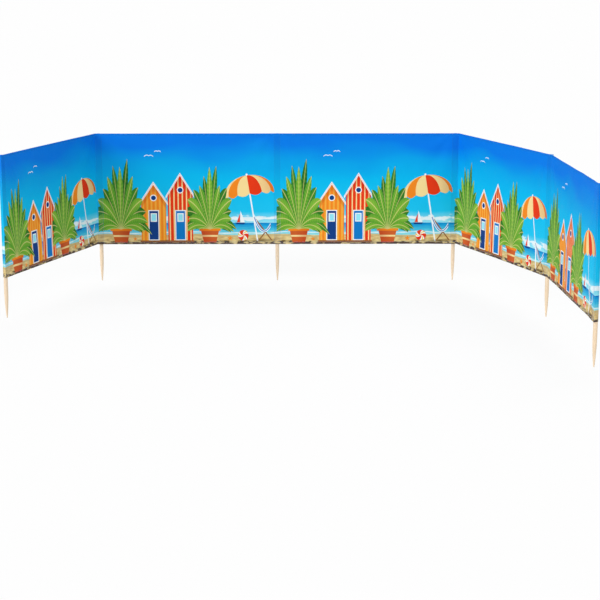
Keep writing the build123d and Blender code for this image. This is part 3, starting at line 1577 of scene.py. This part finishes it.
def bent_grid(columns: int, rows: int, spot: Callable[[int, int], Spot]) -> BMesh:
    """Bend a flat grid into a surface.

    Args:
        columns: faces across the grid.
        rows: faces up the grid.
        spot: gives the place of the point in a column and a row.

    Returns:
        The surface, with the distances along and up the cloth as its map.
    """
    bm = bmesh.new()
    bmesh.ops.create_grid(bm, x_segments=columns, y_segments=rows, size=0.5)
    spots = {}
    for vert in bm.verts:
        spots[vert] = spot(round((vert.co.x + 0.5) * columns), round((vert.co.y + 0.5) * rows))
        vert.co = spots[vert].point
    cloth_map = bm.loops.layers.uv.new(CLOTH_MAP)
    for face in bm.faces:
        for loop in face.loops:
            loop[cloth_map].uv = spots[loop.vert].along, spots[loop.vert].height
    bm.normal_update()
    return bm


def mesh_of(bm: BMesh, name: str) -> Mesh:
    """Turn an editable mesh into a mesh with a name.

    Args:
        bm: the editable mesh, which is freed.
        name: the name.

    Returns:
        The mesh.
    """
    mesh = bpy.data.meshes.new(name)
    bm.to_mesh(mesh)
    bm.free()
    return mesh


def added(name: str, data: ID) -> Object:
    """Add an object to the scene.

    Args:
        name: name of the object.
        data: its mesh, lamp or lens.

    Returns:
        The object, at the origin.
    """
    thing = bpy.data.objects.new(name, data)
    bpy.context.scene.collection.objects.link(thing)
    return thing


def finished(
    bm: BMesh,
    name: str,
    finishes: Sequence[Material],
    node: str = "",
    sharp: float = 50.0,
) -> Object:
    """Turn a mesh into a piece of the windbreak, which rides on the body.

    Args:
        bm: the mesh, which is freed.
        name: name of the piece.
        finishes: its materials.
        node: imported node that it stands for, or nothing where it is an addition.
        sharp: angle in degrees from which an edge stays sharp.

    Returns:
        The piece.
    """
    mesh = mesh_of(bm, name)
    mesh.shade_smooth()
    mesh.set_sharp_from_angle(angle=radians(sharp))
    for finish in finishes:
        mesh.materials.append(finish)
    piece = added(name, mesh)
    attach(piece, BODY)
    if node:
        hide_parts(node)
    log.info("%s: %d faces", name, len(mesh.polygons))
    return piece


@dataclass
class AlongBay:
    """What the pieces share that run along one bay, from fold to fold."""

    drape: Drape
    bay: Bay
    step: float = field(default=8 * MILLIMETRE, kw_only=True)

    @property
    def layers(self) -> Layers:
        """Levels and sizes of the layers of the cloth."""
        return self.drape.row.layers

    @cached_property
    def stations(self) -> list[Station]:
        """Places of the columns of points, from left to right."""
        return self.bay.stations(self.step)

    def draped(self, here: Station, out: float, level: float, height: float) -> Spot:
        """Find a point of the piece where it hangs with the cloth.

        Args:
            here: its place on the run of the cloth.
            out: distance out from the front face.
            level: height above the ground.
            height: height on the cloth, which goes on round its edges.

        Returns:
            The point and its place on the cloth.
        """
        off = self.drape.off(self.bay, here.in_bay, level)
        return Spot(here.at(out + off, level), here.along, height)


@dataclass
class ClothBay(AlongBay):
    """Printed cloth of one bay, taut between its stakes, with a slight belly and creases."""

    finishes: Finishes

    @cached_property
    def levels(self) -> list[float]:
        """Levels of the rows of points, between the turned edges of the two hems."""
        low, high = self.layers.bottom_layer, self.layers.top_layer
        return evenly(low, high, ceil((high - low) / self.step))

    def spot(self, column: int, row: int) -> Spot:
        """Find a point of the front face.

        Args:
            column: number of its column.
            row: number of its row.

        Returns:
            The point and its place on the cloth.
        """
        level = self.levels[row]
        return self.draped(self.stations[column], 0.0, level, level - self.layers.bottom)

    def build(self) -> Object:
        """Make the cloth.

        Returns:
            The piece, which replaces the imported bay.
        """
        bm = bent_grid(len(self.stations) - 1, len(self.levels) - 1, self.spot)
        bmesh.ops.solidify(bm, geom=bm.faces[:], thickness=self.layers.ply)
        bm.normal_update()
        for face in bm.faces:
            face.material_index = int(face.normal.dot(self.bay.outward) > FACING)
        return finished(
            bm,
            f"cloth_{self.bay.number}",
            [self.finishes.printed, self.finishes.reverse],
            f"bay_{self.bay.number}",
        )


@dataclass
class Hem(AlongBay):
    """Edge of the cloth, rounded over, laid down the back and turned under."""

    edge: Edge
    finish: Material
    bends: int = 6
    under_bends: int = 4
    fullness: float = 1.06
    pressed_to: float = 0.4
    fullest_at: float = 0.75

    @property
    def level(self) -> float:
        """Level of the edge."""
        return self.layers.top if self.edge is Edge.TOP else self.layers.bottom

    @cached_property
    def outline(self) -> list[Point]:
        """The closed cross-section.

        Returns:
            Points as distances out from the front face and in from the edge.
        """
        ply, hem = self.layers.ply, self.layers.hem
        end, back, half = hem - ply / 2, 2 * ply, ply / 2
        over = [(ply - ply * cos(turn), ply - ply * sin(turn)) for turn in evenly(0, pi, self.bends)]
        down = [
            (back, hem * self.pressed_to),
            (back * self.fullness, hem * self.fullest_at),
            (back, end),
        ]
        under = [(back - half + half * cos(turn), end + half * sin(turn))
                 for turn in evenly(0, pi, self.under_bends)[1:]]
        return [*over, *down, *under, (ply, ply), over[0]]

    @cached_property
    def girths(self) -> list[float]:
        """Length round the cross-section up to each of its points."""
        return running_lengths(self.outline)

    def spot(self, column: int, row: int) -> Spot:
        """Find a point of the hem's surface.

        Args:
            column: number of the cross-section along the hem.
            row: number of the point round it.

        Returns:
            The point and its place on the cloth.
        """
        (out, depth), inward = self.outline[row], self.edge.value
        round_edge = self.girths[row] - self.layers.ply
        height = self.level - self.layers.bottom - inward * round_edge
        return self.draped(self.stations[column], out, self.level + inward * depth, height)

    def build(self) -> Object:
        """Make the hem.

        Returns:
            The piece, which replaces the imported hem.
        """
        bm = bent_grid(len(self.stations) - 1, len(self.outline) - 1, self.spot)
        bmesh.ops.remove_doubles(bm, verts=bm.verts[:], dist=SAME_POINT)
        bmesh.ops.holes_fill(bm, edges=bm.edges[:], sides=0)
        bmesh.ops.recalc_face_normals(bm, faces=bm.faces[:])
        side, number = self.edge.name.lower(), self.bay.number
        return finished(
            bm, f"{side}_hem_cloth_{number}", [self.finish], f"{side}_hem_{number}"
        )


class Span(NamedTuple):
    """One level of a sleeve, with the radius of its bend and its share of the full depth."""

    level: float
    radius: float
    share: float


@dataclass
class Sleeve:
    """Strip of cloth sewn down at both sides and drawn round a stake, closed over its head."""

    row: Row
    number: int
    finishes: Finishes
    cloth: float = 1.0 * MILLIMETRE
    play: float = 0.1 * MILLIMETRE
    rows: int = 110
    flank_points: int = 6
    arc_points: int = 10
    end_points: int = 6
    gather: float = 1.44 * MILLIMETRE
    gather_at: float = 0.86
    gather_across: float = 2.8 * MILLIMETRE
    gather_out: float = 7.0 * MILLIMETRE
    gather_depth: float = 6.0 * MILLIMETRE
    gather_change: tuple[float, float, float] = (40.0, 5.0, 22.0)
    crown: float = 3.12 * MILLIMETRE
    crown_bend: float = 1.3 * MILLIMETRE
    crown_share: float = 0.35
    cap: float = 2.5 * MILLIMETRE
    lid: float = 0.8
    lid_rows: int = 2
    sharp: float = 48.0

    @property
    def seat(self) -> Seat:
        """Where the stake stands."""
        return self.row.seats[self.number - 1]

    @property
    def foot(self) -> float:
        """Distance from the middle to where the strip leaves the cloth."""
        return self.row.layers.pocket / 2

    @property
    def free_side(self) -> int:
        """-1 or 1 where the end of the cloth turns over at this side, and 0 elsewhere."""
        return {1: -1, len(self.row.seats): 1}.get(self.number, 0)

    @property
    def turned_back(self) -> float:
        """Distance out from the back of the cloth at which the turned end lies."""
        return self.row.layers.ply / 2 + self.row.layers.end_round - self.cloth

    @cached_property
    def here(self) -> Station:
        """The place on the cloth in front of the stake."""
        return self.seat.bay.station(self.seat.at)

    @cached_property
    def stake_offset(self) -> float:
        """Distance from the back of the cloth to the stake's axis."""
        return (self.seat.foot - self.here.point).dot(self.here.outward) - self.row.layers.ply

    @cached_property
    def spans(self) -> list[Span]:
        """The strip's levels.

        Returns:
            Levels from the open foot up to where the strip is drawn shut over the stake's head.
        """
        layers = self.row.layers
        radius = self.stake_offset - layers.ply - self.play
        shut = radius - self.cap
        crown, head = layers.top_layer - self.crown, layers.top_layer - layers.ply
        straight = [Span(level, radius, 1.0)
                    for level in evenly(layers.bottom_layer, crown, self.rows)]
        bend = Span(crown + self.crown_bend, radius - self.cap * self.crown_share, 1.0)
        lid = [Span(head + layers.ply * self.lid * (1 - share), shut, share)
               for share in evenly(1, 0, self.lid_rows)]
        return [*straight, bend, *lid]

    @cached_property
    def profiles(self) -> list[list[Point]]:
        """Lines of the strip's inner face across the stake, one for each level."""
        return [self.profile(span) for span in self.spans]

    @cached_property
    def girths(self) -> list[float]:
        """Length along the lowest line up to each of its points."""
        return running_lengths(self.profiles[0])

    def lift(self, level: float) -> float:
        """Raise the strip's edges where they step over the two hems.

        Args:
            level: height above the ground.

        Returns:
            Distance of the edges from the back of the cloth.
        """
        layers = self.row.layers
        past_hem = layers.depth(level) - layers.hem - layers.ply
        return layers.ply * (1 - ease(past_hem / (2 * layers.ply)))

    def foot_lift(self, side: int, level: float) -> float:
        """Distance of the strip's foot at one side from the back of the cloth."""
        return self.turned_back if side == self.free_side else self.lift(level)

    def tent(self, radius: float, lift: float) -> list[Point]:
        """Draw a line tight from the right foot over the stake to the left one.

        Args:
            radius: radius of the bend over the stake.
            lift: distance of the feet from the back of the cloth.

        Returns:
            Points as distances along the bay and outwards from the back of the cloth.
        """
        rise = self.stake_offset - lift
        slope = atan2(rise, -self.foot) - asin(radius / hypot(self.foot, rise))
        run = sqrt(self.foot**2 + rise**2 - radius**2)
        flank = [(self.foot + reach * cos(slope), lift + reach * sin(slope))
                 for reach in evenly(0, run, self.flank_points)[:-1]]
        swing = slope - pi / 2
        arc = [(radius * cos(turn), self.stake_offset + radius * sin(turn))
               for turn in evenly(swing, pi - swing, self.arc_points)]
        return flank + arc + [(-across, out) for across, out in reversed(flank)]

    def border(self, side: int, lift: float) -> list[Point]:
        """Draw the sewn edge at one side, or the rounded end of the cloth at a free one.

        Args:
            side: -1 for the left and 1 for the right.
            lift: distance of the edge from the back of the cloth.

        Returns:
            Points from the outer edge to just before the foot.
        """
        layers = self.row.layers
        edge = layers.sleeve / 2
        if side != self.free_side:
            return [(side * edge, lift), (side * (edge + self.foot) / 2, lift)]
        seam, bend, middle = edge - layers.end_round, layers.end_round - self.cloth, layers.ply / 2
        turned = [(side * (seam + bend * sin(turn)), middle - bend * cos(turn))
                  for turn in evenly(0, pi, self.end_points)]
        return [*turned, (side * (seam + self.foot) / 2, self.turned_back)]

    def profile(self, span: Span) -> list[Point]:
        """Draw the strip's inner face across the stake at one level.

        Args:
            span: the level.

        Returns:
            Its points from left to right.
        """
        right, left = (self.tent(span.radius, self.foot_lift(side, span.level))
                       for side in (1, -1))
        half, lift = len(right) // 2, self.lift(span.level)
        over = right[:half] + left[half:]
        return self.border(-1, lift) + over[::-1] + self.border(1, lift)[::-1]

    def gathers(self, across: float, out: float, level: float) -> float:
        """Fold the flanks softly, where the strip touches neither the cloth nor the stake.

        Args:
            across: distance along the bay from the middle of the strip.
            out: distance outwards from the back of the cloth.
            level: height above the ground.

        Returns:
            How far the strip stands out there.
        """
        window = bell(abs(across) - self.foot * self.gather_at, self.gather_across)
        window *= bell(out - self.gather_out, self.gather_depth)
        place = Vector((across, self.number, level)) * Vector(self.gather_change)
        return self.gather * window * noise.noise(place)

    def spot(self, column: int, row: int) -> Spot:
        """Find a point of the strip's inner face.

        Args:
            column: number of the point across the stake.
            row: number of the level.

        Returns:
            The point and its place on the cloth.
        """
        layers, seat = self.row.layers, self.seat
        level, _, share = self.spans[row]
        across, out = self.profiles[row][column]
        if abs(across) < self.foot + SAME_POINT:
            lift = self.lift(level)
            out = lift + (out - lift) * share
            out += self.gathers(across, out, level) if row < self.rows else 0.0
        point = self.here.at(layers.ply + out, level) + seat.bay.direction * across
        along = self.here.along + self.girths[column] - self.girths[-1] / 2
        return Spot(point, along, level - layers.bottom)

    def build(self) -> Object:
        """Make the sleeve.

        Returns:
            The piece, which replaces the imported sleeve.
        """
        bm = bent_grid(len(self.girths) - 1, len(self.spans) - 1, self.spot)
        bmesh.ops.solidify(bm, geom=bm.faces[:], thickness=self.cloth)
        bm.normal_update()
        finish = self.finishes.edge if self.free_side else self.finishes.edge_reverse
        node = f"sleeve_{self.number}"
        name = f"sleeve_cloth_{self.number}"
        return finished(bm, name, [finish], node, self.sharp)


@dataclass
class Stake:
    """Turned stake with a blunt tip, a swelling point and a chamfered head."""

    foot: Vector
    number: int
    finish: Material
    radius: float = 12.5 * MILLIMETRE
    tip: float = 3.5 * MILLIMETRE
    tip_flat: float = 2.8 * MILLIMETRE
    tip_edge: float = 1.2 * MILLIMETRE
    taper: float = 165 * MILLIMETRE
    swelling: float = 1.75
    chamfer: float = 2.5 * MILLIMETRE
    head_round: Point = (0.5 * MILLIMETRE, 1.75 * MILLIMETRE)
    point_rings: int = 16
    shaft_rings: int = 12
    facets: int = 48
    sharp: float = 35.0

    @property
    def node(self) -> str:
        """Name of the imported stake."""
        return f"stake_{self.number}"

    def swell(self, share: float) -> float:
        """Radius of the point at a share of its length: it swells quickly, then evens out."""
        return self.radius - (self.radius - self.tip) * (1 - share) ** self.swelling

    def outline(self) -> list[Point]:
        """Draw the stake's side, from the middle of its tip to the middle of its head.

        Returns:
            Points as distances from the axis and heights above the tip.
        """
        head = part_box(self.node)[1].z
        point = [(self.swell(share), self.taper * share)
                 for share in evenly(0, 1, self.point_rings)[1:]]
        shaft = [(self.radius, level) for level in evenly(self.taper, head, self.shaft_rings)[1:-1]]
        return [
            (0.0, 0.0),
            (self.tip_flat, 0.0),
            (self.tip, self.tip_edge),
            *point,
            *shaft,
            (self.radius, head - self.chamfer),
            (self.radius - self.head_round[0], head - self.head_round[1]),
            (self.radius - self.chamfer, head),
            (0.0, head),
        ]

    def build(self) -> Object:
        """Make the stake by turning its outline round its axis.

        Returns:
            The piece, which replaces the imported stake.
        """
        bm = bmesh.new()
        verts = [bm.verts.new((across, 0.0, height)) for across, height in self.outline()]
        edges = [bm.edges.new(pair) for pair in pairwise(verts)]
        bmesh.ops.spin(
            bm, geom=verts + edges, cent=(0, 0, 0), axis=UP, angle=tau, steps=self.facets,
            use_merge=True,
        )
        bmesh.ops.remove_doubles(bm, verts=bm.verts[:], dist=SAME_POINT)
        bmesh.ops.recalc_face_normals(bm, faces=bm.faces[:])
        bmesh.ops.translate(bm, verts=bm.verts[:], vec=self.foot)
        name = f"wooden_stake_{self.number}"
        return finished(bm, name, [self.finish], self.node, self.sharp)


@dataclass
class Stitching:
    """Lockstitch along the hems and down the sides of the sleeves of one bay."""

    drape: Drape
    bay: Bay
    sleeves: list[Sleeve]
    finish: Material
    pitch: float = 4.2 * MILLIMETRE
    length: float = 3.2 * MILLIMETRE
    breadth: float = 0.9 * MILLIMETRE
    inset: float = 2.0 * MILLIMETRE
    sharp: float = 80.0

    def along(self, first: float, last: float) -> list[float]:
        """Places of the stitches of one seam, which stops short of both its ends."""
        first, last = first + self.inset, last - self.inset
        return evenly(first, last, int((last - first) / self.pitch))

    def hem_rows(self) -> Iterator[Matrix]:
        """Lay stitches along both hems, on the front and on the back.

        Yields:
            The place of each stitch.
        """
        bay, row = self.bay, self.drape.row
        layers, covered = row.layers, row.covered(bay)
        for at in self.along(bay.free_before, bay.run - bay.free_after):
            here = bay.station(at)
            sewn_over = any(low < at < high for low, high in covered)
            for level in (layers.bottom + layers.hem_stitch, layers.top - layers.hem_stitch):
                off = self.drape.off(bay, at, level)
                yield self.laid(here.at(off, level), bay.direction)
                if not sewn_over:
                    yield self.laid(here.at(off + 2 * layers.ply, level), bay.direction)

    def seam_rows(self, sleeve: Sleeve) -> Iterator[Matrix]:
        """Lay stitches down both sides of a sleeve, on the front and on the back.

        Args:
            sleeve: the sleeve.

        Yields:
            The place of each stitch.
        """
        layers = self.drape.row.layers
        for side in (-1, 1):
            here = self.bay.station(sleeve.seat.at + side * layers.seam)
            for level in self.along(layers.bottom, layers.top):
                yield self.laid(here.at(0.0, level), UP)
                if layers.bottom_layer < level < layers.top_layer - layers.ply:
                    back = layers.ply + sleeve.foot_lift(side, level) + sleeve.cloth
                    yield self.laid(here.at(back, level), UP)

    def laid(self, place: Vector, direction: Vector) -> Matrix:
        """Lay a stitch on the cloth.

        Args:
            place: middle of the stitch.
            direction: the way that it runs.

        Returns:
            The matrix that takes the stitch there.
        """
        across = direction.cross(self.bay.outward)
        turn = Matrix((direction, self.bay.outward, across)).transposed()
        return Matrix.Translation(place) @ turn.to_4x4()

    def one_stitch(self) -> Mesh:
        """Make one stitch at the origin, along X.

        Returns:
            Its mesh.
        """
        bm = bmesh.new()
        bmesh.ops.create_icosphere(bm, subdivisions=1, radius=0.5)
        bmesh.ops.scale(bm, verts=bm.verts[:], vec=(self.length, self.breadth, self.breadth))
        return mesh_of(bm, "stitch")

    def build(self) -> Object:
        """Sew the bay.

        Returns:
            The piece, which holds every stitch of the bay.
        """
        seams = [self.hem_rows(), *(self.seam_rows(sleeve) for sleeve in self.sleeves)]
        stitch = self.one_stitch()
        bm = bmesh.new()
        for place in chain.from_iterable(seams):
            copy = stitch.copy()
            copy.transform(place)
            bm.from_mesh(copy)
            bpy.data.meshes.remove(copy)
        bpy.data.meshes.remove(stitch)
        name = f"stitching_{self.bay.number}"
        return finished(bm, name, [self.finish], sharp=self.sharp)


class Lamp(NamedTuple):
    """Wide soft light, with the way from the object towards it."""

    name: str
    strength: float
    towards: tuple[float, float, float]


@dataclass(frozen=True)
class Studio:
    """Pale floor, soft light and the camera of the photograph."""

    lens: float = 95.2
    place: tuple[float, float, float] = (0.084, -10.580, 2.229)
    pan: float = 0.377
    tilt: float = 12.615
    view_depth: float = 600.0
    floor_radius: float = 150.0
    floor_sides: int = 64
    floor_grain: float = 3.0
    floor_mottle: float = 0.1
    white_floor: float = 0.88
    ambient: float = 0.42
    light_spread: float = 40.0
    lamps: tuple[Lamp, ...] = (
        Lamp("left_light", 1.58, (-0.72, -0.55, 0.42)),
        Lamp("right_light", 0.66, (0.50, -0.62, 0.60)),
        Lamp("back_light", 1.10, (0.15, 0.70, 0.70)),
    )

    def build(self) -> None:
        """Set up the floor, the world, the lights and the camera."""
        self.lay_floor()
        self.light_world()
        for lamp in self.lamps:
            self.hang(lamp)
        self.stand_camera()
        bpy.context.scene.view_settings.view_transform = "Standard"

    def lay_floor(self) -> None:
        """Lay a round floor under the object."""
        bm = bmesh.new()
        bmesh.ops.create_circle(
            bm, cap_ends=True, radius=self.floor_radius, segments=self.floor_sides
        )
        mesh = mesh_of(bm, "floor")
        mesh.materials.append(self.floor_finish())
        added("floor", mesh)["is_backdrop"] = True

    def floor_finish(self) -> Material:
        """Make a floor that shows almost white and keeps a faint shadow.

        Returns:
            The material.
        """
        material = bpy.data.materials.new("pale_floor")
        shader = Shader(material)
        grain = shader.speckle(shader.object_place(), self.floor_grain)
        tone = shader.mixed(grain * self.floor_mottle, Ink.FLOOR, Ink.FLOOR_SHADE)
        matt = shader.value("ShaderNodeBsdfDiffuse", {}, {"Color": tone})
        glow = shader.value("ShaderNodeEmission", {}, {"Color": Ink.LIGHT, "Strength": 1.0})
        both = {0: shader.seen() * self.white_floor, 1: matt, 2: glow}
        shader.close("ShaderNodeOutputMaterial", shader.value("ShaderNodeMixShader", {}, both))
        return material

    def light_world(self) -> None:
        """Make the world white to the eye, and softer where it lights the object."""
        world = bpy.data.worlds.new("studio")
        bpy.context.scene.world = world
        shader = Shader(world)
        strength = shader.seen() * (1.0 - self.ambient) + self.ambient
        sky = {"Color": Ink.LIGHT, "Strength": strength}
        shader.close("ShaderNodeOutputWorld", shader.value("ShaderNodeBackground", {}, sky))

    def hang(self, lamp: Lamp) -> None:
        """Hang a lamp.

        Args:
            lamp: the lamp.
        """
        light = bpy.data.lights.new(lamp.name, "SUN")
        light.energy = lamp.strength
        light.angle = radians(self.light_spread)
        hung = added(lamp.name, light)
        hung.rotation_mode = "QUATERNION"
        hung.rotation_quaternion = Vector(lamp.towards).to_track_quat("Z", "Y")

    def stand_camera(self) -> None:
        """Stand the camera where the photograph was taken from."""
        lens = bpy.data.cameras.new("camera")
        lens.lens = self.lens
        lens.clip_end = self.view_depth
        camera = added("camera", lens)
        camera.location = self.place
        camera.rotation_euler = (radians(90 - self.tilt), 0.0, radians(-self.pan))
        bpy.context.scene.camera = camera


def main() -> None:
    """Build the windbreak piece by piece, then the studio, and work out both boxes."""
    logging.basicConfig(level=logging.INFO, format="%(name)s: %(message)s")
    row = Row(Layers.measured())
    drape, finishes = Drape(row), Finishes.made(row)
    log.info("cloth of %.3f m in %d bays", row.length, len(row.bays))

    sleeves = [Sleeve(row, number, finishes) for number, _ in enumerate(row.seats, 1)]
    sleeve_pieces = [sleeve.build() for sleeve in sleeves]
    stakes = [Stake(seat.foot, number, finishes.pine).build()
              for number, seat in enumerate(row.seats, 1)]
    for bay in row.bays:
        carried = [index for index, seat in enumerate(row.seats) if seat.bay is bay]
        cloth = ClothBay(drape, bay, finishes).build()
        hems = [Hem(drape, bay, edge, finishes.edge).build() for edge in Edge]
        sewn = [sleeves[index] for index in carried]
        stitching = Stitching(drape, bay, sewn, finishes.thread).build()
        row.layers.height
    Studio().build()

    boxes = {"cad": cad_box, "visual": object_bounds()}
    {name: [list(corner) for corner in box] for name, box in boxes.items()}


if __name__ == "__main__":
    main()
